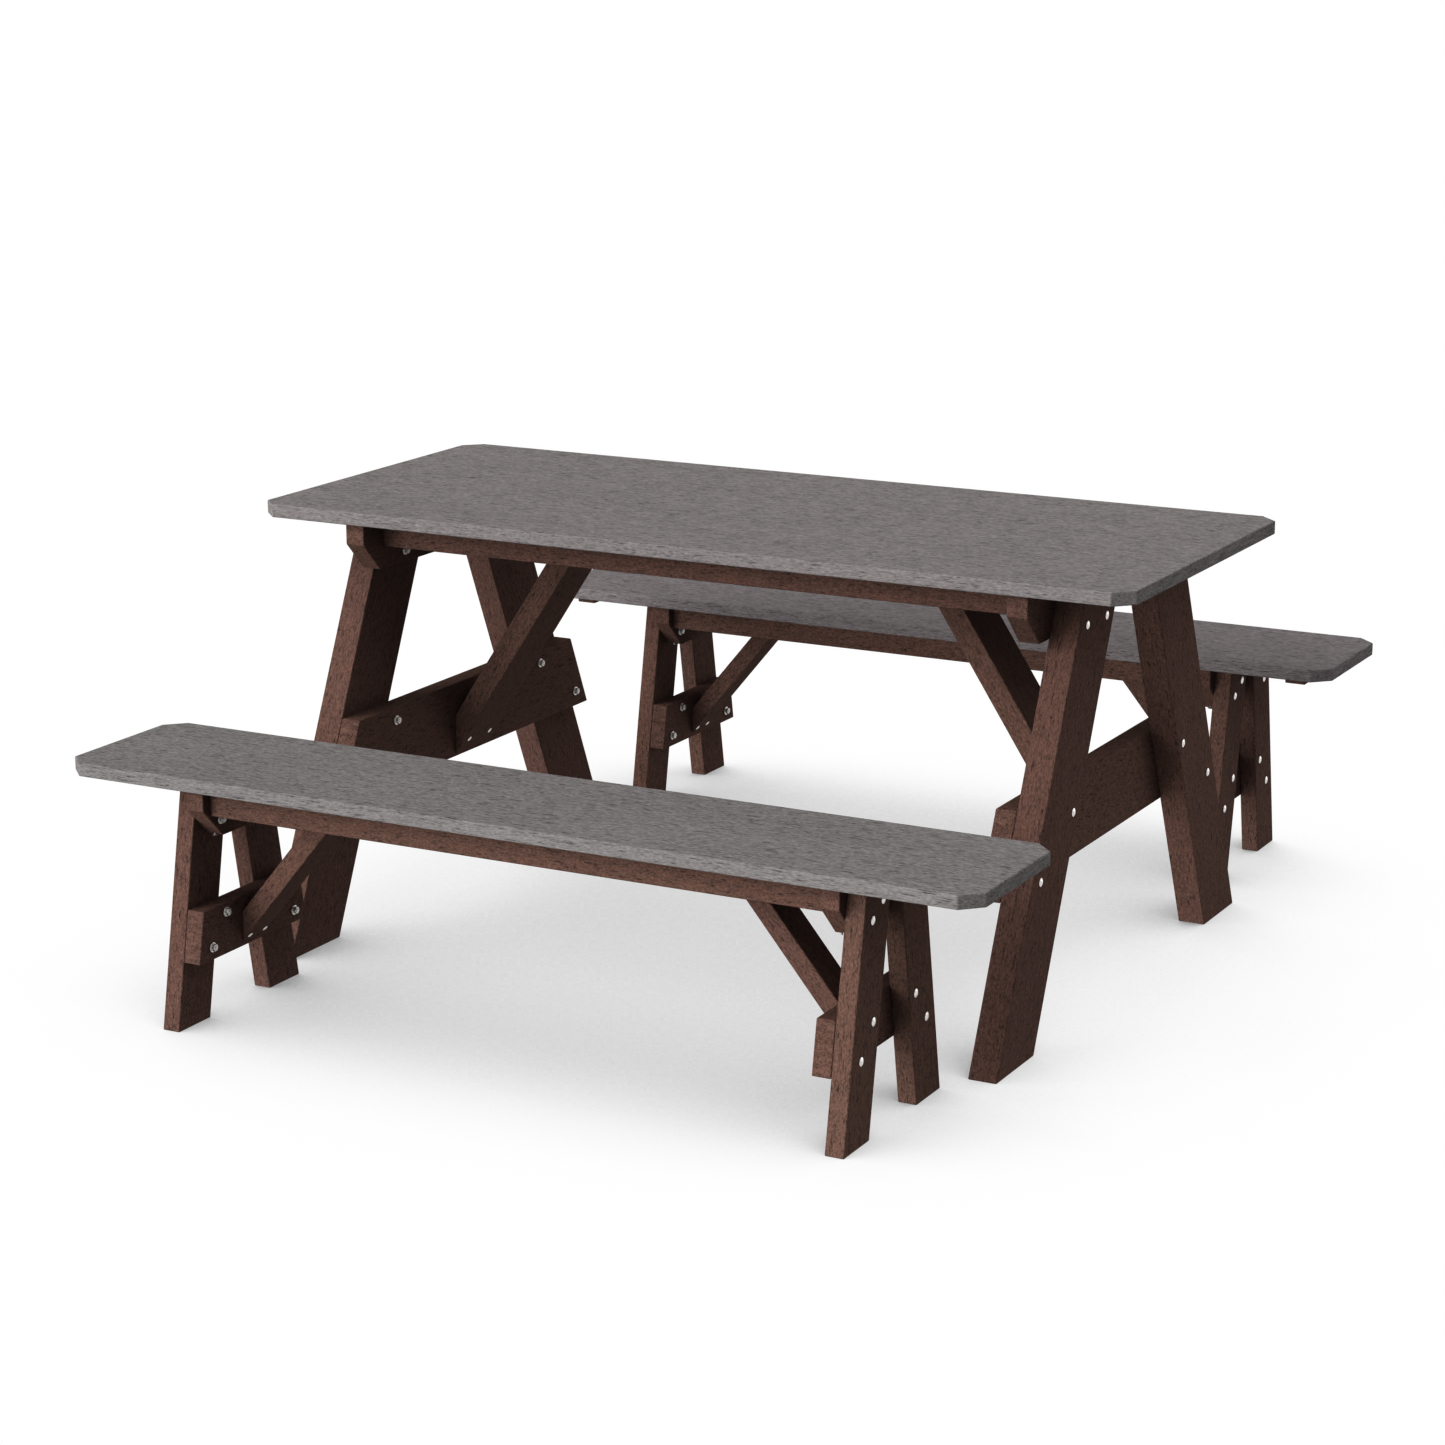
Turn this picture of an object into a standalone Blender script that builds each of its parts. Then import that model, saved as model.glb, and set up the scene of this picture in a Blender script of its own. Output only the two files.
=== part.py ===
"""Picnic table with two loose benches, made of recycled-plastic lumber.

The table and the benches are built alike. A one-piece slab with clipped corners lies on two end
frames. An end frame is a pair of splayed legs bolted to the outside of a cleat, under the slab, and
of a stretcher, lower down. Two rails join the cleats lengthways, and a brace runs from the middle of
each stretcher up and inwards to the slab.

Metres, +Z up, ground at z = 0. X runs along the table, and -Y is the front.
"""

import math
from dataclasses import dataclass

import bmesh
import bpy

# --- slabs -------------------------------------------------------------------------------------
LENGTH = 1.637  # the table top and both seats
SLAB = 0.023  # thickness
CORNER_CLIP = 0.032  # cut off each corner, along both edges
SLAB_EDGE = 0.0018  # rounding of the slab's edges

# --- boards ------------------------------------------------------------------------------------
CLEAT_DEPTH = 0.088
CLEAT_END = 0.037  # upright part of a cleat's end; below it the end is cut back at 45 degrees
RAIL_DEPTH = 0.048
RAIL_THICK = 0.036
BOARD_EDGE = 0.0012  # chamfer along the edges of every board
GAP = 0.0003  # between pieces that touch

# --- battens under the overhanging ends of the seats ---------------------------------------------
BATTEN_X = 0.749
BATTEN_WIDTH = 0.038
BATTEN_THICK = 0.012
BATTEN_FRONT = 0.028  # from the seat's front edge, or its rear one on a bench that is turned round
BATTEN_REAR = 0.060  # from the other edge

# --- 1/4 inch carriage bolts ---------------------------------------------------------------------
BOLT_SIDES = 12
SHANK_R = 0.0032
HEAD_R = 0.0073
HEAD_HEIGHT = 0.0028
WASHER_R = 0.0085
WASHER_THICK = 0.0016
NUT_ACROSS = 0.0111
NUT_THICK = 0.0056
BOLT_END = 0.0008  # thread showing past the nut
HOLE_R = SHANK_R + GAP

# --- where the three pieces of furniture stand ---------------------------------------------------
BENCH_Y = 0.7835  # both benches, either side of the origin
TABLE_Y = -0.0135


@dataclass
class Furniture:
    """Sizes of a table or a bench. Y is measured from its own centre line."""

    name: str
    height: float
    width: float
    leg_face_x: float  # outer face of the legs
    leg_thick: float
    leg_width: float  # square to the leg
    foot_y: float  # outer edge of the foot
    splay: float  # degrees from upright
    board_thick: float  # cleats and stretchers
    cleat_half: float  # half the cleat's length
    stretcher_bottom: float
    stretcher_depth: float
    rail_y: float  # outer face of the rails
    brace_width: float
    brace_thick: float
    brace_angle: float  # degrees from level
    brace_heel: float  # height of its lowest corner
    bolts: list  # (inwards from the leg's outer edge, height)
    battens: bool

    @property
    def underside(self):
        return self.height - SLAB

    @property
    def inner_x(self):
        """Inner face of the cleats and stretchers."""
        return self.leg_face_x - self.leg_thick - GAP - self.board_thick

    def leg_edge(self, z):
        """Y of the leg's outer edge at height z."""
        return self.foot_y - math.tan(math.radians(self.splay)) * z


TABLE = Furniture(
    name="table",
    height=0.762,
    width=0.708,
    leg_face_x=0.6915,
    leg_thick=0.049,
    leg_width=0.136,
    foot_y=0.542,
    splay=24.0,
    board_thick=0.0365,
    cleat_half=0.3395,
    stretcher_bottom=0.258,
    stretcher_depth=0.1365,
    rail_y=0.2795,
    brace_width=0.112,
    brace_thick=0.040,
    brace_angle=56.8,
    brace_heel=0.262,
    bolts=[(0.0335, 0.672), (0.116, 0.672), (0.127, 0.3703), (0.0335, 0.2873)],
    battens=False,
)

BENCH = Furniture(
    name="bench",
    height=0.427,
    width=0.301,
    leg_face_x=0.620,
    leg_thick=0.032,
    leg_width=0.0855,
    foot_y=0.172,
    splay=10.15,
    board_thick=0.032,
    cleat_half=0.127,
    stretcher_bottom=0.1135,
    stretcher_depth=0.0865,
    rail_y=0.1087,
    brace_width=0.064,
    brace_thick=0.0325,
    brace_angle=50.3,
    brace_heel=0.122,
    bolts=[(0.061, 0.368), (0.0295, 0.345), (0.0635, 0.1855), (0.0315, 0.1355)],
    battens=True,
)


def clear_scene():
    for obj in list(bpy.data.objects):
        bpy.data.objects.remove(obj, do_unlink=True)


def make_material(name, colour, roughness, metallic):
    material = bpy.data.materials.new(name)
    material.use_nodes = True
    shader = material.node_tree.nodes["Principled BSDF"]
    shader.inputs["Base Color"].default_value = (*colour, 1.0)
    shader.inputs["Roughness"].default_value = roughness
    shader.inputs["Metallic"].default_value = metallic
    material.diffuse_color = (*colour, 1.0)
    return material


def add_object(name, bm, material, parent):
    mesh = bpy.data.meshes.new(name)
    bmesh.ops.recalc_face_normals(bm, faces=bm.faces)
    bm.to_mesh(mesh)
    bm.free()
    if material:
        mesh.materials.append(material)
    obj = bpy.data.objects.new(name, mesh)
    obj.parent = parent
    bpy.context.scene.collection.objects.link(obj)
    return obj


def prism(name, outline, axis, low, high, material, parent):
    """A flat outline extruded from low to high along axis. The outline is in the other two axes."""
    place = {
        "x": lambda point, along: (along, point[0], point[1]),
        "y": lambda point, along: (point[0], along, point[1]),
        "z": lambda point, along: (point[0], point[1], along),
    }[axis]
    bm = bmesh.new()
    face = bm.faces.new([bm.verts.new(place(point, low)) for point in outline])
    extruded = bmesh.ops.extrude_face_region(bm, geom=[face])
    for vert in extruded["geom"]:
        if isinstance(vert, bmesh.types.BMVert):
            vert.co["xyz".index(axis)] = high
    return add_object(name, bm, material, parent)


def soften_edges(obj, width, segments):
    bevel = obj.modifiers.new("edges", "BEVEL")
    bevel.width = width
    bevel.segments = segments
    bevel.limit_method = "ANGLE"
    bevel.angle_limit = math.radians(20)


def drill(obj, places, low_x, high_x, parent):
    """Bolt holes along X at each (y, z) in places."""
    margin = 0.004
    bm = bmesh.new()
    for y, z in places:
        loft(bm, [(low_x - margin, HOLE_R, HOLE_R), (high_x + margin, HOLE_R, HOLE_R)], y, z)
    cutter = add_object(obj.name + "_drill", bm, None, parent)
    cutter.hide_render = True
    cutter.display_type = "WIRE"
    holes = obj.modifiers.new("bolt holes", "BOOLEAN")
    holes.operation = "DIFFERENCE"
    holes.solver = "EXACT"
    holes.object = cutter


def loft(bm, stations, y=0.0, z=0.0):
    """A closed spindle along X through stations of (x, radius at corners, radius at mid-sides)."""
    rings = []
    for x, corner_r, side_r in stations:
        ring = []
        for k in range(BOLT_SIDES):
            angle = 2 * math.pi * k / BOLT_SIDES
            radius = side_r if k % 2 else corner_r
            ring.append(bm.verts.new((x, y + radius * math.cos(angle), z + radius * math.sin(angle))))
        rings.append(ring)
    for ring, following in zip(rings, rings[1:]):
        for k in range(BOLT_SIDES):
            after = (k + 1) % BOLT_SIDES
            bm.faces.new((ring[k], ring[after], following[after], following[k]))
    bm.faces.new(rings[0])
    bm.faces.new(rings[-1])


def bolt_mesh(grip, material):
    """Carriage bolt, washer and nut as one turned piece. x = 0 is the leg's face, with the head at +X."""
    dome = [
        (GAP + HEAD_HEIGHT * math.sin(math.radians(a)), HEAD_R * math.cos(math.radians(a)))
        for a in (75, 50, 22, 0)
    ]
    washer_x = -grip - GAP
    nut_x = washer_x - WASHER_THICK
    nut_end = nut_x - NUT_THICK
    stations = [(x, r, r) for x, r in dome]
    stations += [(GAP, SHANK_R, SHANK_R), (washer_x, SHANK_R, SHANK_R)]
    stations += [(washer_x, WASHER_R, WASHER_R), (nut_x, WASHER_R, WASHER_R)]
    corner_r = NUT_ACROSS / math.sqrt(3)
    stations += [(nut_x, corner_r, NUT_ACROSS / 2), (nut_end, corner_r, NUT_ACROSS / 2)]
    stations += [(nut_end, SHANK_R, SHANK_R), (nut_end - BOLT_END, SHANK_R * 0.8, SHANK_R * 0.8)]
    bm = bmesh.new()
    loft(bm, stations)
    bmesh.ops.recalc_face_normals(bm, faces=bm.faces)
    mesh = bpy.data.meshes.new("carriage_bolt")
    bm.to_mesh(mesh)
    bm.free()
    mesh.materials.append(material)
    mesh.shade_smooth()
    mesh.set_sharp_from_angle(angle=math.radians(40))
    return mesh


def slab(name, size, material, parent):
    """The one-piece top or seat: an octagon with short corners."""
    half_x = LENGTH / 2
    half_y = size.width / 2
    outline = [
        (half_x - CORNER_CLIP, -half_y),
        (half_x, CORNER_CLIP - half_y),
        (half_x, half_y - CORNER_CLIP),
        (half_x - CORNER_CLIP, half_y),
        (CORNER_CLIP - half_x, half_y),
        (-half_x, half_y - CORNER_CLIP),
        (-half_x, CORNER_CLIP - half_y),
        (CORNER_CLIP - half_x, -half_y),
    ]
    obj = prism(name, outline, "z", size.underside, size.height, material, parent)
    soften_edges(obj, SLAB_EDGE, 2)


def leg(name, size, side_x, side_y, material, parent):
    top = size.underside - GAP
    across = size.leg_width / math.cos(math.radians(size.splay))
    outline = [
        (side_y * size.foot_y, 0),
        (side_y * (size.foot_y - across), 0),
        (side_y * (size.leg_edge(top) - across), top),
        (side_y * size.leg_edge(top), top),
    ]
    faces = sorted((side_x * size.leg_face_x, side_x * (size.leg_face_x - size.leg_thick)))
    obj = prism(name, outline, "x", *faces, material, parent)
    soften_edges(obj, BOARD_EDGE, 1)
    places = [(side_y * (size.leg_edge(z) - inwards), z) for inwards, z in size.bolts]
    drill(obj, places, *faces, parent)


def board_faces(size, side_x):
    """X of the two faces of a cleat or a stretcher."""
    return sorted((side_x * size.inner_x, side_x * (size.inner_x + size.board_thick)))


def bolts_between(size, low, high):
    """(y, z) of the bolts of both legs that lie between two heights."""
    return [
        (side_y * (size.leg_edge(z) - inwards), z)
        for side_y in (-1, 1)
        for inwards, z in size.bolts
        if low < z < high
    ]


def cleat(name, size, side_x, material, parent):
    top = size.underside - GAP
    bottom = size.underside - CLEAT_DEPTH
    corner = size.underside - CLEAT_END
    half = size.cleat_half
    short_half = half - (corner - bottom)
    outline = [
        (-half, top),
        (-half, corner),
        (-short_half, bottom),
        (short_half, bottom),
        (half, corner),
        (half, top),
    ]
    faces = board_faces(size, side_x)
    obj = prism(name, outline, "x", *faces, material, parent)
    soften_edges(obj, BOARD_EDGE, 1)
    drill(obj, bolts_between(size, bottom, top), *faces, parent)


def stretcher(name, size, side_x, material, parent):
    """Its ends are cut to the legs' splay, flush with their outer edges."""
    bottom = size.stretcher_bottom
    top = bottom + size.stretcher_depth
    outline = [
        (-size.leg_edge(bottom), bottom),
        (size.leg_edge(bottom), bottom),
        (size.leg_edge(top), top),
        (-size.leg_edge(top), top),
    ]
    faces = board_faces(size, side_x)
    obj = prism(name, outline, "x", *faces, material, parent)
    soften_edges(obj, BOARD_EDGE, 1)
    drill(obj, bolts_between(size, bottom, top), *faces, parent)


def rail(name, size, side_y, material, parent):
    end = size.inner_x - GAP
    low, high = sorted((side_y * size.rail_y, side_y * (size.rail_y - RAIL_THICK)))
    outline = [(low, size.underside - RAIL_DEPTH), (high, size.underside - RAIL_DEPTH)]
    outline += [(high, size.underside - GAP), (low, size.underside - GAP)]
    obj = prism(name, outline, "x", -end, end, material, parent)
    soften_edges(obj, BOARD_EDGE, 1)


def brace(name, size, side_x, material, parent):
    """From a plumb cut on the stretcher to a level cut under the slab."""
    slope = math.tan(math.radians(size.brace_angle))
    depth = size.brace_thick / math.cos(math.radians(size.brace_angle))
    heel_x = size.inner_x - GAP
    top = size.underside - GAP
    outline = [
        (side_x * heel_x, size.brace_heel),
        (side_x * heel_x, size.brace_heel + depth),
        (side_x * (heel_x - (top - size.brace_heel - depth) / slope), top),
        (side_x * (heel_x - (top - size.brace_heel) / slope), top),
    ]
    half = size.brace_width / 2
    obj = prism(name, outline, "y", -half, half, material, parent)
    soften_edges(obj, BOARD_EDGE, 1)


def batten(name, size, side_x, turned, material, parent):
    """Off centre, so a bench that is turned round has it nearer the other edge."""
    low, high = sorted((side_x * (BATTEN_X - BATTEN_WIDTH / 2), side_x * (BATTEN_X + BATTEN_WIDTH / 2)))
    front, rear = BATTEN_FRONT - size.width / 2, size.width / 2 - BATTEN_REAR
    if turned:
        front, rear = -rear, -front
    outline = [(low, front), (high, front), (high, rear), (low, rear)]
    top = size.underside - GAP
    obj = prism(name, outline, "z", top - BATTEN_THICK, top, material, parent)
    soften_edges(obj, BOARD_EDGE, 1)


def bolts(prefix, size, mesh, parent):
    """One bolt through each hole of each leg, heads outside."""
    for side_x, end in ((-1, "left"), (1, "right")):
        for side_y, side in ((-1, "front"), (1, "rear")):
            for number, (inwards, z) in enumerate(size.bolts, 1):
                bolt = bpy.data.objects.new(f"{prefix}_bolt_{side}_{end}_{number}", mesh)
                bolt.parent = parent
                bolt.location = (side_x * size.leg_face_x, side_y * (size.leg_edge(z) - inwards), z)
                bolt.rotation_euler.z = 0 if side_x > 0 else math.pi
                bpy.context.scene.collection.objects.link(bolt)


def furniture(prefix, slab_name, size, y, grey, brown, turned=False):
    """A table or a bench, parented to an empty on the ground at its centre."""
    centre = bpy.data.objects.new(prefix + "_centre", None)
    centre.location.y = y
    bpy.context.scene.collection.objects.link(centre)
    slab(f"{prefix}_{slab_name}", size, grey, centre)
    for side_x, end in ((-1, "left"), (1, "right")):
        for side_y, side in ((-1, "front"), (1, "rear")):
            leg(f"{prefix}_leg_{side}_{end}", size, side_x, side_y, brown, centre)
        cleat(f"{prefix}_cleat_{end}", size, side_x, brown, centre)
        stretcher(f"{prefix}_stretcher_{end}", size, side_x, brown, centre)
        brace(f"{prefix}_brace_{end}", size, side_x, brown, centre)
        if size.battens:
            batten(f"{prefix}_batten_{end}", size, side_x, turned, brown, centre)
    for side_y, side in ((-1, "front"), (1, "rear")):
        rail(f"{prefix}_rail_{side}", size, side_y, brown, centre)
    return centre


def main():
    clear_scene()
    grey = make_material("grey_slab", (0.15, 0.14, 0.135), 0.7, 0.0)
    brown = make_material("brown_lumber", (0.075, 0.04, 0.032), 0.65, 0.0)
    steel = make_material("zinc_steel", (0.72, 0.72, 0.71), 0.35, 1.0)
    table = furniture("table", "top", TABLE, TABLE_Y, grey, brown)
    furniture("front_bench", "seat", BENCH, -BENCH_Y, grey, brown, turned=True)
    furniture("rear_bench", "seat", BENCH, BENCH_Y, grey, brown)
    grip = TABLE.leg_thick + GAP + TABLE.board_thick
    bolts("table", TABLE, bolt_mesh(grip, steel), table)
    bpy.context.view_layer.update()


main()
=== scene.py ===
"""Looks of a picnic table with two loose benches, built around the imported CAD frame.

The slabs are grey recycled plastic with a mottled, slightly streaked face. The end frames, rails and
braces are dark brown boards of the same stuff. Zinc-plated carriage bolts hold the legs, and screws
hold the braces and the slabs. Metres, +Z up; left is -X, and the front is -Y.
"""

import math
import random

import bmesh
import bpy
from mathutils import Euler, Matrix, Vector


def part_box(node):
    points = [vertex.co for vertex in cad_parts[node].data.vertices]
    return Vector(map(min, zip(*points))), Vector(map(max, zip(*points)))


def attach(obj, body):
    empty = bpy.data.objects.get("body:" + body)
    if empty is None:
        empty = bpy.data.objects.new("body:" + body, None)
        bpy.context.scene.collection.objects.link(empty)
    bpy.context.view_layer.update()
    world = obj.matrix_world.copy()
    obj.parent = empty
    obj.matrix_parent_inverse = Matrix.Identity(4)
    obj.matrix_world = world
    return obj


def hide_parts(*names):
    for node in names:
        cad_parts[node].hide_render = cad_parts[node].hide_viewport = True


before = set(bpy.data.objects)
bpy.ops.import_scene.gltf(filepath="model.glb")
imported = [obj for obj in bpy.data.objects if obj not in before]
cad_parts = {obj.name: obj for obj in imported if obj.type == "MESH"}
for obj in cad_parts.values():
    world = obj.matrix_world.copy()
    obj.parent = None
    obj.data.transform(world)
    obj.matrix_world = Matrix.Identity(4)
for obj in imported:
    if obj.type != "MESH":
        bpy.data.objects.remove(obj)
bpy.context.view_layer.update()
FURNITURE = ("table", "front_bench", "rear_bench")
ENDS = {"left": -1, "right": 1}
SIDES = {"front": -1, "rear": 1}
MM = 0.001
OCTAVE_SPREAD = 0.13  # standard deviation of one octave of the noise texture

# --- colours, linear ------------------------------------------------------------------------------
GREY = (0.193, 0.1805, 0.1805)
BROWN = (0.1286, 0.0828, 0.0689)
ZINC = (0.74, 0.715, 0.70)
# The darker zinc is painted shade, for the nuts and the screws under the slabs.
PAINTED_SHADE_ZINC = (0.55, 0.535, 0.525)
SHEEN = 0.01  # the lumber is quite matt
LOOKS = {
    "grey": {"Mottle": 0.046, "Speckle": 0.100, "Dashes": 0.42, "Hue": 0.0},
    "brown": {"Mottle": 0.040, "Speckle": 0.115, "Dashes": 0.42, "Hue": 0.5},
}

STOCK = (1000, 1000, 1000)  # place in mm, along the grain, across it and through the thickness
PRESSED_STOCK = (650, 800, 1700)  # a slab's mottling is drawn out along it and pressed flat

# --- soft lights: azimuth and elevation in degrees, sharpness, strength ---------------------------
SOFT_LIGHTS = (
    (324, 23, 16.6, 9.2),  # key, front left
    (40, 79, 2.44, 1.85),  # overhead
    (142, -4, 9.66, 2.85),  # low fill, back right
    (340, -21, 8.49, 4.2),  # off the floor in front
    (235, 28, 12.0, 1.3),  # back left
)
PRINT_CONTRAST = 1.4  # of the picture, over a linear one

# --- floor and its shadow -------------------------------------------------------------------------
FLOOR_HALF = 40.0
SHADOW_REACH = 4.0  # of the pieces that throw it
SHADOW_AZIMUTH = 30  # it leans away from the front right
SHADOW_TILT = 35.0
SHADOW_DEPTH = 1.29
SHADOW_START = 0.345  # less shade than this doesn't show
SHADOW_SOFTNESS = 0.32

# --- camera ---------------------------------------------------------------------------------------
CAMERA_AT = (2.716, -5.305, 1.895)
CAMERA_DOWN = 14.279  # degrees below level
CAMERA_LEFT = 27.857  # degrees to the left of straight back
CAMERA_LENS = 86.674
CAMERA_SENSOR = 36.0

# --- carriage bolts and screws --------------------------------------------------------------------
ROUND = 32  # points round a turned piece
SHANK_R = 0.0032
HEAD_R = 0.0073
HEAD_HEIGHT = 0.0028
HEAD_RIM = 0.0006  # upright edge of a domed head
WASHER_R = 0.0085
WASHER_THICK = 0.0016
NUT_ACROSS = 0.0111
NUT_THICK = 0.0056
NUT_CHAMFER = math.radians(30)
BOLT_END = 0.0008  # thread showing past the nut
THREAD_PITCH = 0.00127
THREAD_DEPTH = 0.0006
SEAT = 0.0003  # gap between a fastener and the face it bears on
LEG_THICK = {"table": 0.049, "bench": 0.032}
BOARD_THICK = {"table": 0.0365, "bench": 0.032}
BENCH_BOLTS = ((0.061, 0.368), (0.0295, 0.345), (0.0635, 0.1855), (0.0315, 0.1355))  # inwards, height
SCREW_R = 0.0052
SCREW_HEIGHT = 0.0022
SCREW_SHANK_R = 0.0022
SCREW_DRIVE = 0.0030  # across the square recess
SCREW_DRIVE_DEPTH = 0.0012
HEEL_SCREWS = {"table": (0.035, 0.026), "bench": (0.021, 0.008)}  # from the middle, above the heel


# --- node helpers ---------------------------------------------------------------------------------
def add(tree, kind, inputs=None, **settings):
    """A node whose inputs are values or sockets to link, by name or number."""
    node = tree.nodes.new(kind)
    for key, value in settings.items():
        setattr(node, key, value)
    for key, value in (inputs or {}).items():
        if isinstance(value, bpy.types.NodeSocket):
            tree.links.new(value, node.inputs[key])
        else:
            node.inputs[key].default_value = value
    return node


def calc(tree, operation, *values, clamp=False):
    node = add(tree, "ShaderNodeMath", dict(enumerate(values)), operation=operation, use_clamp=clamp)
    return node.outputs[0]


def noise(tree, place, stretch, size, detail=2, rough=0.55):
    """Noise around 0 with a spread near 1. Place is in mm; cells are size mm, and longer along X."""
    scaled = add(tree, "ShaderNodeMapping", {"Vector": place, "Scale": (1 / stretch, 1, 1)})
    made = add(
        tree,
        "ShaderNodeTexNoise",
        {"Vector": scaled.outputs[0], "Scale": 1 / size, "Detail": detail, "Roughness": rough},
    )
    octaves = [rough**k for k in range(detail + 1)]
    spread = OCTAVE_SPREAD * math.hypot(*octaves) / sum(octaves)
    return calc(tree, "MULTIPLY_ADD", made.outputs["Fac"], 1 / spread, -0.5 / spread)


def ramp(tree, value, low, high, to_low=0.0, to_high=1.0):
    node = add(
        tree,
        "ShaderNodeMapRange",
        {0: value, 1: low, 2: high, 3: to_low, 4: to_high},
        interpolation_type="SMOOTHSTEP",
    )
    return node.outputs[0]


def ramp_line(tree, value, low, high, to_low, to_high):
    node = add(tree, "ShaderNodeMapRange", {0: value, 1: low, 2: high, 3: to_low, 4: to_high})
    return node.outputs[0]


def tint(tree, colour, factor):
    """Colour times a number."""
    node = add(tree, "ShaderNodeVectorMath", {0: colour, 1: factor}, operation="MULTIPLY")
    return node.outputs[0]


def blend_colour(tree, factor, below, above):
    node = add(tree, "ShaderNodeMix", {0: factor, 6: below, 7: above}, data_type="RGBA")
    return node.outputs[2]


def edge_mask(tree, radius):
    """1 on an edge and 0 on a flat face, from how far the rounded normal leans from the real one."""
    rounded = add(tree, "ShaderNodeBevel", {"Radius": radius}, samples=4)
    real = add(tree, "ShaderNodeNewGeometry")
    lean = add(
        tree,
        "ShaderNodeVectorMath",
        {0: rounded.outputs[0], 1: real.outputs["Normal"]},
        operation="DOT_PRODUCT",
    )
    return ramp(tree, lean.outputs["Value"], 0.995, 0.80), rounded.outputs[0]


# --- lumber ---------------------------------------------------------------------------------------
def lumber_group():
    """Recycled-plastic lumber. Grain runs along X of the input place, which is in mm."""
    tree = bpy.data.node_groups.new("recycled_lumber", "ShaderNodeTree")
    for name, kind in (("Place", "NodeSocketVector"), ("Body", "NodeSocketColor")):
        tree.interface.new_socket(name, in_out="INPUT", socket_type=kind)
    for name in ("End", "Mottle", "Speckle", "Dashes", "Hue"):
        tree.interface.new_socket(name, in_out="INPUT", socket_type="NodeSocketFloat")
    outputs = {"Colour": "NodeSocketColor", "Roughness": "NodeSocketFloat", "Normal": "NodeSocketVector"}
    for name, kind in outputs.items():
        tree.interface.new_socket(name, in_out="OUTPUT", socket_type=kind)
    given = add(tree, "NodeGroupInput").outputs
    place = given["Place"]

    clouds = noise(tree, place, 3.0, 70, 2)
    mottle = noise(tree, place, 3.0, 5.6, 2, 0.6)
    speckle = noise(tree, place, 1.8, 2.8, 2, 0.6)
    dashes = noise(tree, place, 7.0, 2.3, 1, 0.5)
    flecks = noise(tree, place, 1.6, 2.2, 1, 0.5)

    # Albedo: mottled, finely speckled, with clusters of short dark dashes and a few pale flecks.
    clusters = ramp(tree, mottle, 0.8, -0.8, 0.25, 1.0)
    dark = calc(tree, "MULTIPLY", ramp(tree, dashes, 0.6, 1.9), clusters)
    pale = ramp(tree, flecks, 1.5, 2.6)
    tone = calc(tree, "MULTIPLY_ADD", clouds, 0.014, 1.03)
    tone = calc(tree, "MULTIPLY_ADD", mottle, given["Mottle"], tone)
    tone = calc(tree, "MULTIPLY_ADD", speckle, given["Speckle"], tone)
    tone = calc(tree, "MULTIPLY_ADD", dark, calc(tree, "MULTIPLY", given["Dashes"], -1.0), tone)
    tone = calc(tree, "MULTIPLY_ADD", pale, 0.14, tone)
    edges, rounded = edge_mask(tree, 2.0 * MM)
    worn = calc(tree, "MULTIPLY", edges, ramp(tree, mottle, -1.0, 1.0, -0.02, 0.04))
    tone = calc(tree, "ADD", tone, worn)
    # A sawn end is a little darker, streaked across its width, and shows the saw's marks.
    sawn = noise(tree, place, 0.02, 60, 1)
    turned = add(tree, "ShaderNodeMapping", {"Vector": place, "Rotation": (0, 0, math.pi / 2)})
    streaks = noise(tree, turned.outputs[0], 3.0, 9.0, 2)
    tone = calc(tree, "MULTIPLY_ADD", given["End"], -0.03, tone)
    streaks = calc(tree, "MULTIPLY", streaks, given["End"])
    tone = calc(tree, "MULTIPLY_ADD", streaks, 0.08, tone)
    colour = tint(tree, given["Body"], calc(tree, "MAXIMUM", tone, 0.3))
    warm = tint(tree, colour, (1.07, 0.97, 0.93))
    share = calc(tree, "MULTIPLY", ramp(tree, mottle, -1.5, 1.5), given["Hue"])
    colour = blend_colour(tree, share, colour, warm)

    # Relief: the moulded skin's shallow grain, and the dashes pressed into it.
    relief = calc(tree, "MULTIPLY", mottle, 0.30)
    relief = calc(tree, "MULTIPLY_ADD", speckle, 0.35, relief)
    relief = calc(tree, "MULTIPLY_ADD", dark, -1.2, relief)
    saw_marks = calc(tree, "MULTIPLY", sawn, given["End"])
    relief = calc(tree, "MULTIPLY_ADD", saw_marks, 0.3, relief)
    bump = add(
        tree,
        "ShaderNodeBump",
        {"Strength": 0.5, "Distance": 0.0002, "Height": relief, "Normal": rounded},
    )
    rough = calc(tree, "MULTIPLY_ADD", speckle, 0.04, 0.78)
    rough = calc(tree, "MULTIPLY_ADD", edges, -0.12, rough)
    add(tree, "NodeGroupOutput", {"Colour": colour, "Roughness": rough, "Normal": bump.outputs[0]})
    return tree


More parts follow.
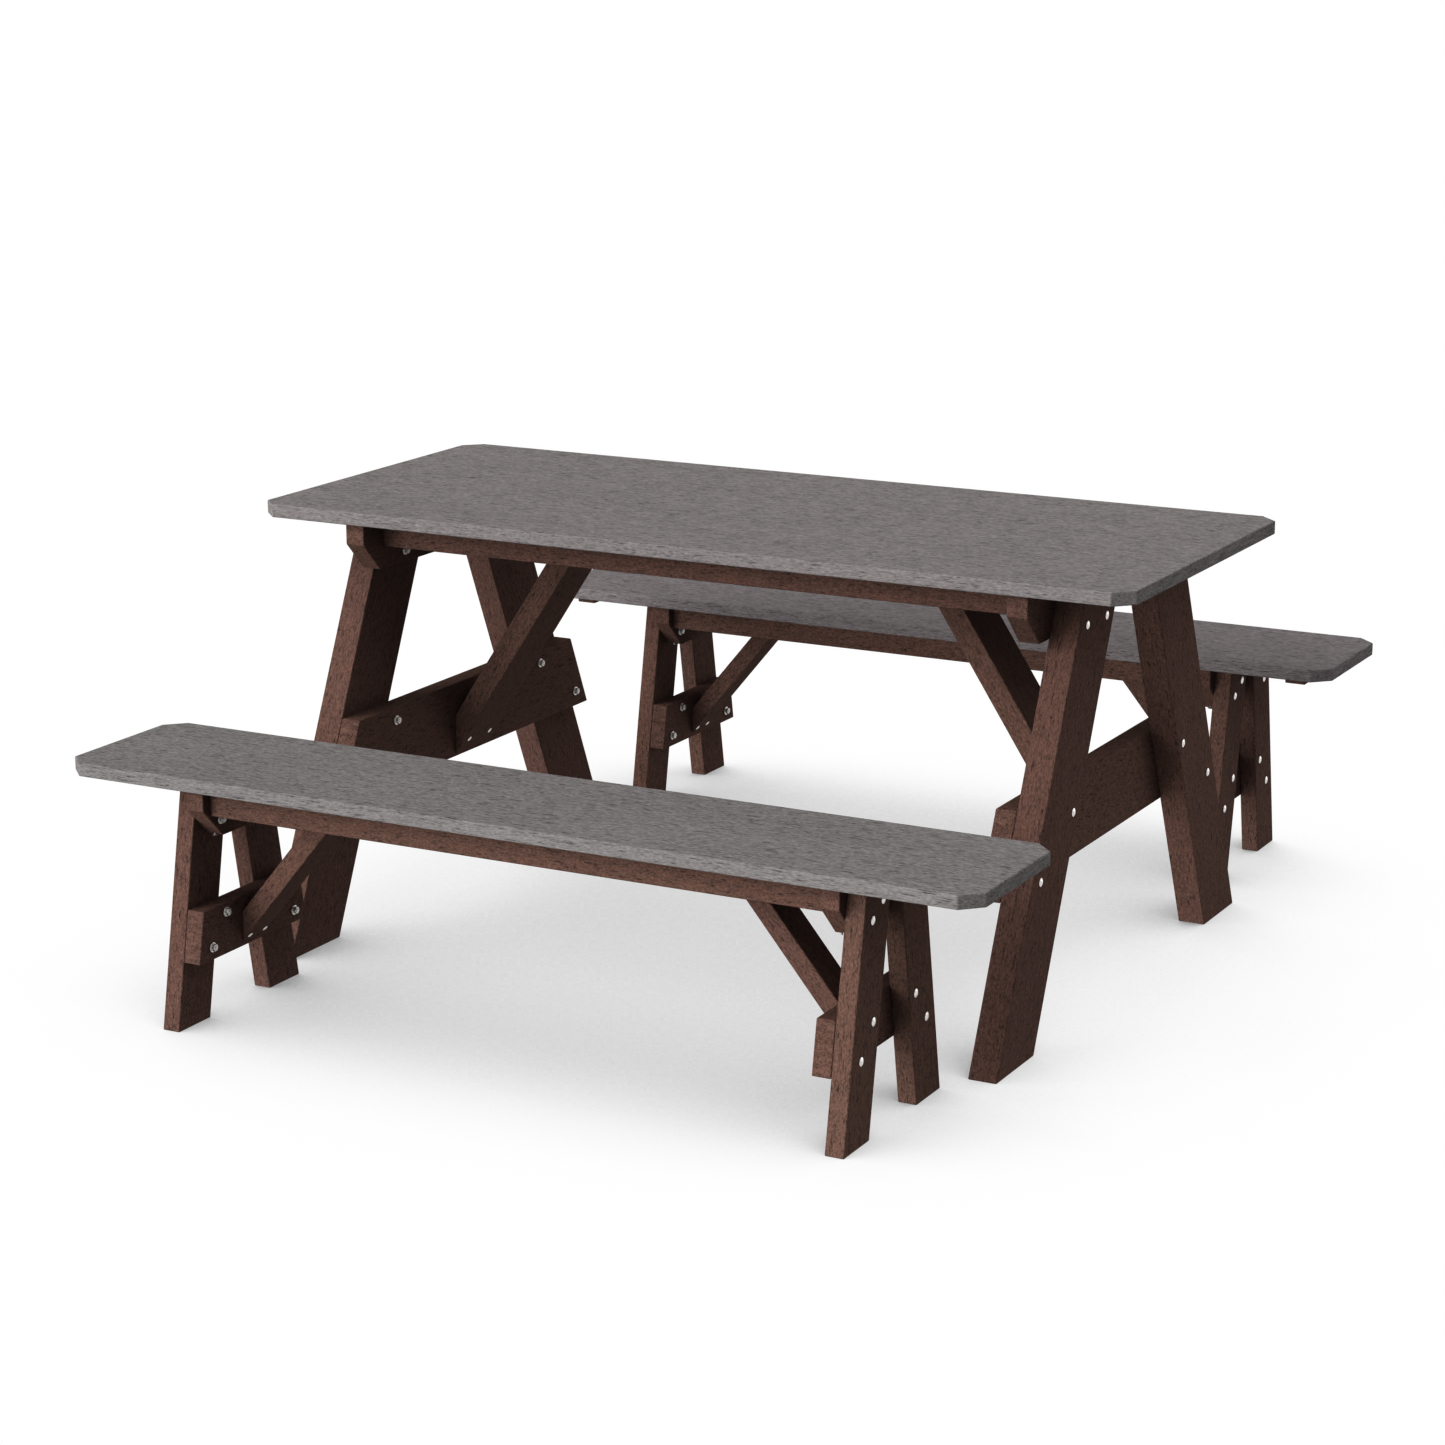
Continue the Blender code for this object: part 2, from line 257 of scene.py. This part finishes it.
def lumber(name, group, body, grain, look, stock, draw):
    """Lumber with its grain along a direction, cut from its own place in the stock."""
    material = bpy.data.materials.new(name)
    material.use_nodes = True
    tree = material.node_tree
    tree.nodes.clear()
    turn = grain.rotation_difference(Vector((1, 0, 0))).to_euler()
    where = add(tree, "ShaderNodeTexCoord")
    cut = tuple(draw.uniform(-4000, 4000) for _ in range(3))
    place = add(
        tree, "ShaderNodeMapping", {"Vector": where.outputs["Object"], "Rotation": turn}
    )
    in_mm = add(
        tree,
        "ShaderNodeMapping",
        {"Vector": place.outputs[0], "Location": cut, "Scale": stock},
    )
    along = add(
        tree,
        "ShaderNodeVectorMath",
        {0: where.outputs["Normal"], 1: grain},
        operation="DOT_PRODUCT",
    )
    end = ramp(tree, calc(tree, "ABSOLUTE", along.outputs["Value"]), 0.75, 0.9)
    tone = draw.uniform(0.95, 1.05)
    colour = [tone * part * draw.uniform(0.99, 1.01) for part in body]
    inputs = {"Place": in_mm.outputs[0], "End": end, "Body": (*colour, 1), **look}
    made = add(tree, "ShaderNodeGroup", node_tree=group)
    for key, value in inputs.items():
        if isinstance(value, bpy.types.NodeSocket):
            tree.links.new(value, made.inputs[key])
        else:
            made.inputs[key].default_value = value
    shader = add(
        tree,
        "ShaderNodeBsdfPrincipled",
        {
            "Base Color": made.outputs["Colour"],
            "Roughness": made.outputs["Roughness"],
            "Specular IOR Level": SHEEN,
            "Normal": made.outputs["Normal"],
        },
    )
    add(tree, "ShaderNodeOutputMaterial", {"Surface": shader.outputs[0]})
    return material


def steel_material(name, body, edge):
    """Zinc plate on steel, with faint cloudy patches and a satin sheen.

    The last argument paints a highlight on the edges: how much brighter than its body they are, as a
    share.
    """
    material = bpy.data.materials.new(name)
    material.use_nodes = True
    tree = material.node_tree
    tree.nodes.clear()
    where = add(tree, "ShaderNodeTexCoord")
    place = add(
        tree, "ShaderNodeMapping", {"Vector": where.outputs["Object"], "Scale": (1000, 1000, 1000)}
    )
    cloud = noise(tree, place.outputs[0], 1.0, 3.0, 3)
    grit = noise(tree, place.outputs[0], 1.0, 0.35, 2)
    edges, rounded = edge_mask(tree, 0.5 * MM)
    factor = calc(tree, "MULTIPLY_ADD", cloud, 0.04, 1.0)
    # Painted highlight: edges are made brighter, as if their rounding caught the light.
    factor = calc(tree, "MULTIPLY_ADD", edges, edge, factor)
    bump = add(
        tree, "ShaderNodeBump", {"Strength": 0.25, "Distance": 0.00004, "Height": grit, "Normal": rounded}
    )
    rough = calc(tree, "MULTIPLY_ADD", cloud, 0.05, 0.34)
    shader = add(
        tree,
        "ShaderNodeBsdfPrincipled",
        {
            "Base Color": tint(tree, body, factor),
            "Metallic": 0.9,
            "Roughness": rough,
            "Normal": bump.outputs[0],
        },
    )
    add(tree, "ShaderNodeOutputMaterial", {"Surface": shader.outputs[0]})
    return material


def farthest(node, direction, low, high):
    """How far a node reaches along direction, among its vertices between two heights."""
    heights = [v.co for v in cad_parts[node].data.vertices if low <= v.co.z <= high]
    return max(point.dot(direction) for point in heights)


def outer_edge(node, out):
    """(Y at the foot, Y at the top) of a leg's outer edge; out is -1 or 1."""
    low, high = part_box(node)
    margin = 0.01
    direction = Vector((0, out, 0))
    foot = out * farthest(node, direction, low.z, low.z + margin)
    top = out * farthest(node, direction, high.z - margin, high.z)
    return foot, top


def board_direction(node, kind, side, end):
    """The direction of a board's grain, from the node's own box."""
    low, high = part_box(node)
    if kind == "leg":
        foot, top = outer_edge(node, SIDES[side])
        return Vector((0, top - foot, high.z - low.z)).normalized()
    if kind == "brace":
        # The heel is a plumb cut, and the top a level one, so the box's diagonal runs from edge to edge.
        return brace_slope(node, ENDS[end])
    if kind in ("cleat", "stretcher", "batten"):
        return Vector((0, 1, 0))
    return Vector((1, 0, 0))


def brace_slope(node, out):
    """Unit vector up a brace's underside; out is the side, -1 or 1, that its heel points to."""
    low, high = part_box(node)
    reach = 0.01
    inner = -farthest(node, Vector((-out, 0, 0)), high.z - reach, high.z)
    outer = farthest(node, Vector((out, 0, 0)), low.z, low.z + reach)
    return Vector((-out * (outer - inner), 0, high.z - low.z)).normalized()


def dress_boards(draw):
    """Grey slabs and brown boards: each gets lumber of its own."""
    group = lumber_group()
    for name in sorted(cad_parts):
        if "_bolt_" in name:
            continue
        words = name.replace("front_bench_", "").replace("rear_bench_", "").replace("table_", "")
        kind, *rest = words.split("_")
        side = next((word for word in rest if word in SIDES), None)
        end = next((word for word in rest if word in ENDS), None)
        grain = board_direction(name, kind, side, end)
        if kind in ("top", "seat"):
            material = lumber(name + "_look", group, GREY, grain, LOOKS["grey"], PRESSED_STOCK, draw)
        else:
            material = lumber(name + "_look", group, BROWN, grain, LOOKS["brown"], STOCK, draw)
        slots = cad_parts[name].data.materials
        slots.clear()
        slots.append(material)


# --- fasteners ------------------------------------------------------------------------------------
def circle(angle):
    return 1.0


def hexagon(angle):
    """Corner radius over half the width across flats, by angle."""
    sector = math.radians(60)
    return 1 / math.cos((angle + sector / 2) % sector - sector / 2)


def square(angle):
    return 1 / max(abs(math.cos(angle)), abs(math.sin(angle)))


def ring(bm, x, radius, outline=circle, count=ROUND):
    """A ring of vertices round X. x may be a function of the angle."""
    made = []
    for k in range(count):
        angle = 2 * math.pi * k / count
        reach = radius(angle) if callable(radius) else radius * outline(angle)
        along = x(angle) if callable(x) else x
        made.append(bm.verts.new((along, reach * math.cos(angle), reach * math.sin(angle))))
    return made


def skin(bm, rings, closed=False):
    """Faces between rings, and either caps or a join from last to first."""
    pairs = list(zip(rings, rings[1:]))
    if closed:
        pairs.append((rings[-1], rings[0]))
    for near, far in pairs:
        count = len(near)
        for k in range(count):
            after = (k + 1) % count
            bm.faces.new((near[k], near[after], far[after], far[k]))
    if not closed:
        bm.faces.new(rings[0])
        bm.faces.new(rings[-1])


def dome(radius, height, rim, from_radius, steps=7):
    """(x, radius) down a shallow domed head, from its flat middle to its rim."""
    cap = height - rim
    sphere = (radius**2 + cap**2) / (2 * cap)
    start, stop = math.asin(from_radius / sphere), math.asin(radius / sphere)
    angles = [start + (stop - start) * k / steps for k in range(steps + 1)]
    return [(rim + cap - sphere * (1 - math.cos(a)), sphere * math.sin(a)) for a in angles]


def thread(start, end):
    """(x, radius) along V-shaped grooves from start down to end."""
    points = []
    x = start
    while x > end + THREAD_PITCH * 0.6:
        points += [(x, SHANK_R), (x - THREAD_PITCH / 2, SHANK_R - THREAD_DEPTH)]
        x -= THREAD_PITCH
    return points


def add_carriage_bolt(bm, nut_end):
    """Domed head at +X, shank through the wood, and thread showing past the nut."""
    head = dome(HEAD_R, HEAD_HEIGHT, HEAD_RIM, 0.0008)
    profile = [(x + SEAT, r) for x, r in head] + [(SEAT, HEAD_R - 0.0002), (SEAT, SHANK_R)]
    tip = nut_end - BOLT_END
    profile += thread(nut_end + THREAD_PITCH, tip + 0.0004)
    profile += [(tip + 0.0004, SHANK_R - 0.0001), (tip, SHANK_R - 0.0006)]
    skin(bm, [ring(bm, x, r) for x, r in profile])


def add_washer(bm, x):
    """A flat ring from x towards -X, its outer corners rounded."""
    bore, soft = SHANK_R + 0.0003, 0.0003
    back = x - WASHER_THICK
    profile = [(x, bore), (x, WASHER_R - soft), (x - soft, WASHER_R), (back + soft, WASHER_R)]
    profile += [(back, WASHER_R - soft), (back, bore)]
    skin(bm, [ring(bm, along, r) for along, r in profile], closed=True)


def add_nut(bm, x):
    """A hexagon nut from x towards -X. A 30 degree cone takes the corners off both faces."""
    half, face_r = NUT_ACROSS / 2, NUT_ACROSS / 2 * 0.96
    count = 48
    bore, funnel = SHANK_R - THREAD_DEPTH / 2, 0.0005

    def drop(angle):
        return (half * hexagon(angle) - face_r) * math.tan(NUT_CHAMFER)

    back = x - NUT_THICK
    rings = [
        ring(bm, x - funnel, bore, count=count),
        ring(bm, x, bore + funnel, count=count),
        ring(bm, x, face_r, count=count),
        ring(bm, lambda angle: x - drop(angle), half, hexagon, count),
        ring(bm, lambda angle: back + drop(angle), half, hexagon, count),
        ring(bm, back, face_r, count=count),
        ring(bm, back, bore + funnel, count=count),
        ring(bm, back + funnel, bore, count=count),
    ]
    skin(bm, rings, closed=True)


def finished_mesh(name, bm, materials, smooth_up_to=35):
    bmesh.ops.recalc_face_normals(bm, faces=bm.faces)
    mesh = bpy.data.meshes.new(name)
    bm.to_mesh(mesh)
    bm.free()
    for material in materials:
        mesh.materials.append(material)
    mesh.shade_smooth()
    mesh.set_sharp_from_angle(angle=math.radians(smooth_up_to))
    return mesh


def carriage_bolt_mesh(name, grip, bright, painted_shade_zinc):
    """Bolt, washer and nut. x = 0 is the leg's face, and the nut is behind it at -grip."""
    bm = bmesh.new()
    washer_x = -grip - SEAT
    nut_x = washer_x - WASHER_THICK
    add_carriage_bolt(bm, nut_x - NUT_THICK)
    add_washer(bm, washer_x)
    add_nut(bm, nut_x)
    for face in bm.faces:
        # The nut and the thread past it take the darker zinc, whose darkness is painted shade and whose
        # brighter edges are painted highlights.
        face.material_index = 1 if face.calc_center_median().x < nut_x - SEAT else 0
    return finished_mesh(name, bm, (bright, painted_shade_zinc))


def screw_mesh(name, length, material):
    """A pan head with a square recess at +X, and a plain shank into the wood."""
    bm = bmesh.new()
    half_drive = SCREW_DRIVE / 2
    head = dome(SCREW_R, SCREW_HEIGHT, 0.0005, half_drive * 1.5, 5)
    top = head[0][0] + SEAT
    rings = [
        ring(bm, top - SCREW_DRIVE_DEPTH, half_drive * 0.9, square),
        ring(bm, top, half_drive, square),
    ]
    rings += [ring(bm, x + SEAT, r) for x, r in head]
    rings += [ring(bm, SEAT, SCREW_R - 0.0002), ring(bm, SEAT, SCREW_SHANK_R)]
    rings += [ring(bm, -length + 0.006, SCREW_SHANK_R), ring(bm, -length, 0.0004)]
    skin(bm, rings)
    return finished_mesh(name, bm, (material,))


def fasten(name, mesh, point, out, body, draw):
    """Puts a fastener at a point, its head facing out, turned as it happened to end up."""
    piece = bpy.data.objects.new(name, mesh)
    bpy.context.scene.collection.objects.link(piece)
    face = Vector((1, 0, 0)).rotation_difference(Vector(out))
    spin = Euler((draw.uniform(0, 2 * math.pi), 0, 0)).to_quaternion()
    piece.matrix_world = Matrix.Translation(point) @ (face @ spin).to_matrix().to_4x4()
    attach(piece, body)
    return piece


def table_bolts(bright, painted_shade_zinc, draw):
    """Detailed carriage bolts in place of the table's CAD bolts."""
    grip = LEG_THICK["table"] + BOARD_THICK["table"] + SEAT
    mesh = carriage_bolt_mesh("table_carriage_bolt", grip, bright, painted_shade_zinc)
    for node in sorted(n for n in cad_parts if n.startswith("table_bolt_")):
        low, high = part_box(node)
        _, _, side, end, number = node.split("_")
        out = ENDS[end]
        leg_low, leg_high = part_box(f"table_leg_{side}_{end}")
        middle = (low + high) / 2
        middle.x = leg_high.x if out > 0 else leg_low.x
        name = f"table_carriage_bolt_{side}_{end}_{number}"
        piece = fasten(name, mesh, middle, (out, 0, 0), "table", draw)
        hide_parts(node)


def bench_bolts(bright, painted_shade_zinc, draw):
    grip = LEG_THICK["bench"] + BOARD_THICK["bench"] + SEAT
    mesh = carriage_bolt_mesh("bench_carriage_bolt", grip, bright, painted_shade_zinc)
    for bench in ("front_bench", "rear_bench"):
        for end, out in ENDS.items():
            for side, side_y in SIDES.items():
                node = f"{bench}_leg_{side}_{end}"
                low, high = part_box(node)
                foot, top = outer_edge(node, side_y)
                lean = (top - foot) / (high.z - low.z)
                for number, (inwards, z) in enumerate(BENCH_BOLTS, 1):
                    y = foot + lean * z - side_y * inwards
                    point = (high.x if out > 0 else low.x, y, z)
                    name = f"{bench}_carriage_bolt_{side}_{end}_{number}"
                    fasten(name, mesh, point, (out, 0, 0), bench, draw)


def heel_screws(material, draw):
    """Two screws through the heel of each brace into its stretcher."""
    mesh = screw_mesh("heel_screw", 0.05, material)
    for furniture in FURNITURE:
        apart, above = HEEL_SCREWS["table" if furniture == "table" else "bench"]
        for end, out in ENDS.items():
            node = f"{furniture}_brace_{end}"
            low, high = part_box(node)
            up = brace_slope(node, out)
            heel = Vector((high.x if out > 0 else low.x, (low.y + high.y) / 2, low.z))
            point = heel + up * (above / up.z)
            facing = Vector((-out * up.z, 0, -abs(up.x)))
            for side, side_y in SIDES.items():
                name = f"{furniture}_heel_screw_{side}_{end}"
                fasten(name, mesh, point + Vector((0, side_y * apart, 0)), facing, furniture, draw)


def slab_screws(material, draw):
    """Screws up through the cleats and the rails into the slab, seen from below."""
    meshes = {}
    for furniture in FURNITURE:
        for kind, spots in (("cleat", (-0.30, 0.0, 0.30)), ("rail", (-0.30, 0.0, 0.30))):
            for place in ENDS if kind == "cleat" else SIDES:
                node = f"{furniture}_{kind}_{place}"
                low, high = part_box(node)
                middle, size = (low + high) / 2, high - low
                along = Vector((0, size.y, 0)) if kind == "cleat" else Vector((size.x, 0, 0))
                length = round(size.z + 0.015, 3)
                if length not in meshes:
                    meshes[length] = screw_mesh(f"slab_screw_{len(meshes)}", length, material)
                for number, share in enumerate(spots, 1):
                    point = Vector((middle.x, middle.y, low.z)) + along * share
                    name = f"{furniture}_{kind}_screw_{place}_{number}"
                    fasten(name, meshes[length], point, (0, 0, -1), furniture, draw)


# --- studio ---------------------------------------------------------------------------------------
def towards(azimuth, elevation):
    """Unit vector at an azimuth, 0 in front and 90 at the right, and an elevation, in degrees."""
    a, e = math.radians(azimuth), math.radians(elevation)
    return Vector((math.sin(a) * math.cos(e), -math.cos(a) * math.cos(e), math.sin(e)))


def floor():
    """A plain pale floor with a soft contact shadow. It throws no light back at the undersides."""
    material = bpy.data.materials.new("floor")
    material.use_nodes = True
    tree = material.node_tree
    tree.nodes.clear()
    open_sky = add(
        tree,
        "ShaderNodeAmbientOcclusion",
        {"Distance": SHADOW_REACH, "Normal": towards(SHADOW_AZIMUTH, 90 - SHADOW_TILT)},
        samples=16,
    )
    below = (1 - math.cos(math.radians(SHADOW_TILT))) / 2  # share of the half-sphere under the floor
    shut = ramp_line(tree, open_sky.outputs["AO"], 1 - below, 0.0, 0.0, 1.0)
    shade = calc(tree, "MULTIPLY_ADD", shut, SHADOW_DEPTH, -SHADOW_START)
    shade = calc(tree, "SMOOTH_MAX", shade, 0.0, SHADOW_SOFTNESS)
    bright = calc(tree, "SUBTRACT", 1.0, shade)
    bright = calc(tree, "POWER", bright, 1 / PRINT_CONTRAST)
    glow = add(tree, "ShaderNodeEmission", {"Color": (1, 1, 1, 1), "Strength": bright})
    add(tree, "ShaderNodeOutputMaterial", {"Surface": glow.outputs[0]})
    mesh = bpy.data.meshes.new("floor")
    corners = [(x * FLOOR_HALF, y * FLOOR_HALF, 0) for x, y in ((-1, -1), (1, -1), (1, 1), (-1, 1))]
    mesh.from_pydata(corners, [], [(0, 1, 2, 3)])
    mesh.materials.append(material)
    plane = bpy.data.objects.new("floor", mesh)
    bpy.context.scene.collection.objects.link(plane)
    plane.visible_diffuse = False
    plane.visible_shadow = False


def lobe(tree, direction, azimuth, elevation, sharpness, strength):
    """Soft light from one side: strength at its middle, falling off with the angle from it."""
    towards_light = add(
        tree,
        "ShaderNodeVectorMath",
        {0: direction, 1: towards(azimuth, elevation)},
        operation="DOT_PRODUCT",
    )
    fall = calc(tree, "MULTIPLY_ADD", towards_light.outputs["Value"], sharpness, -sharpness)
    return calc(tree, "MULTIPLY", calc(tree, "EXPONENT", fall), strength)


def sky():
    """Plain white behind the object, which is lit by a few broad soft lights."""
    world = bpy.data.worlds.new("studio")
    bpy.context.scene.world = world
    world.use_nodes = True
    tree = world.node_tree
    tree.nodes.clear()
    direction = add(tree, "ShaderNodeTexCoord").outputs["Generated"]
    light = 0.0
    for azimuth, elevation, sharpness, strength in SOFT_LIGHTS:
        one = lobe(tree, direction, azimuth, elevation, sharpness, strength)
        light = calc(tree, "ADD", light, one)
    seen = add(tree, "ShaderNodeLightPath").outputs["Is Camera Ray"]
    strength = add(tree, "ShaderNodeMix", {0: seen, 2: light, 3: 1.0}, data_type="FLOAT")
    background = add(tree, "ShaderNodeBackground", {0: (1, 1, 1, 1), 1: strength.outputs[0]})
    add(tree, "ShaderNodeOutputWorld", {0: background.outputs[0]})


def camera():
    data = bpy.data.cameras.new("camera")
    data.lens = CAMERA_LENS
    data.sensor_width = CAMERA_SENSOR
    data.clip_end = 200.0
    view = bpy.data.objects.new("camera", data)
    view.location = CAMERA_AT
    view.rotation_euler = (math.radians(90 - CAMERA_DOWN), 0, math.radians(CAMERA_LEFT))
    bpy.context.scene.collection.objects.link(view)
    bpy.context.scene.camera = view


def main():
    draw = random.Random(11)
    dress_boards(draw)
    # Both zincs have edges painted brighter as painted highlights: faintly on the bright zinc, and twice
    # as bright on the darker one. The darker zinc's darkness is itself painted shade, for the nuts and
    # the screws under the slabs.
    bright = steel_material("bright_zinc", ZINC, 0.05)
    painted_shade_zinc = steel_material("dull_zinc", PAINTED_SHADE_ZINC, 1.0)
    table_bolts(bright, painted_shade_zinc, draw)
    bench_bolts(bright, painted_shade_zinc, draw)
    heel_screws(bright, draw)
    slab_screws(painted_shade_zinc, draw)
    floor()
    sky()
    camera()
    bpy.context.scene.view_settings.view_transform = "Standard"
    bpy.context.scene.view_settings.gamma = 1 / PRINT_CONTRAST


main()
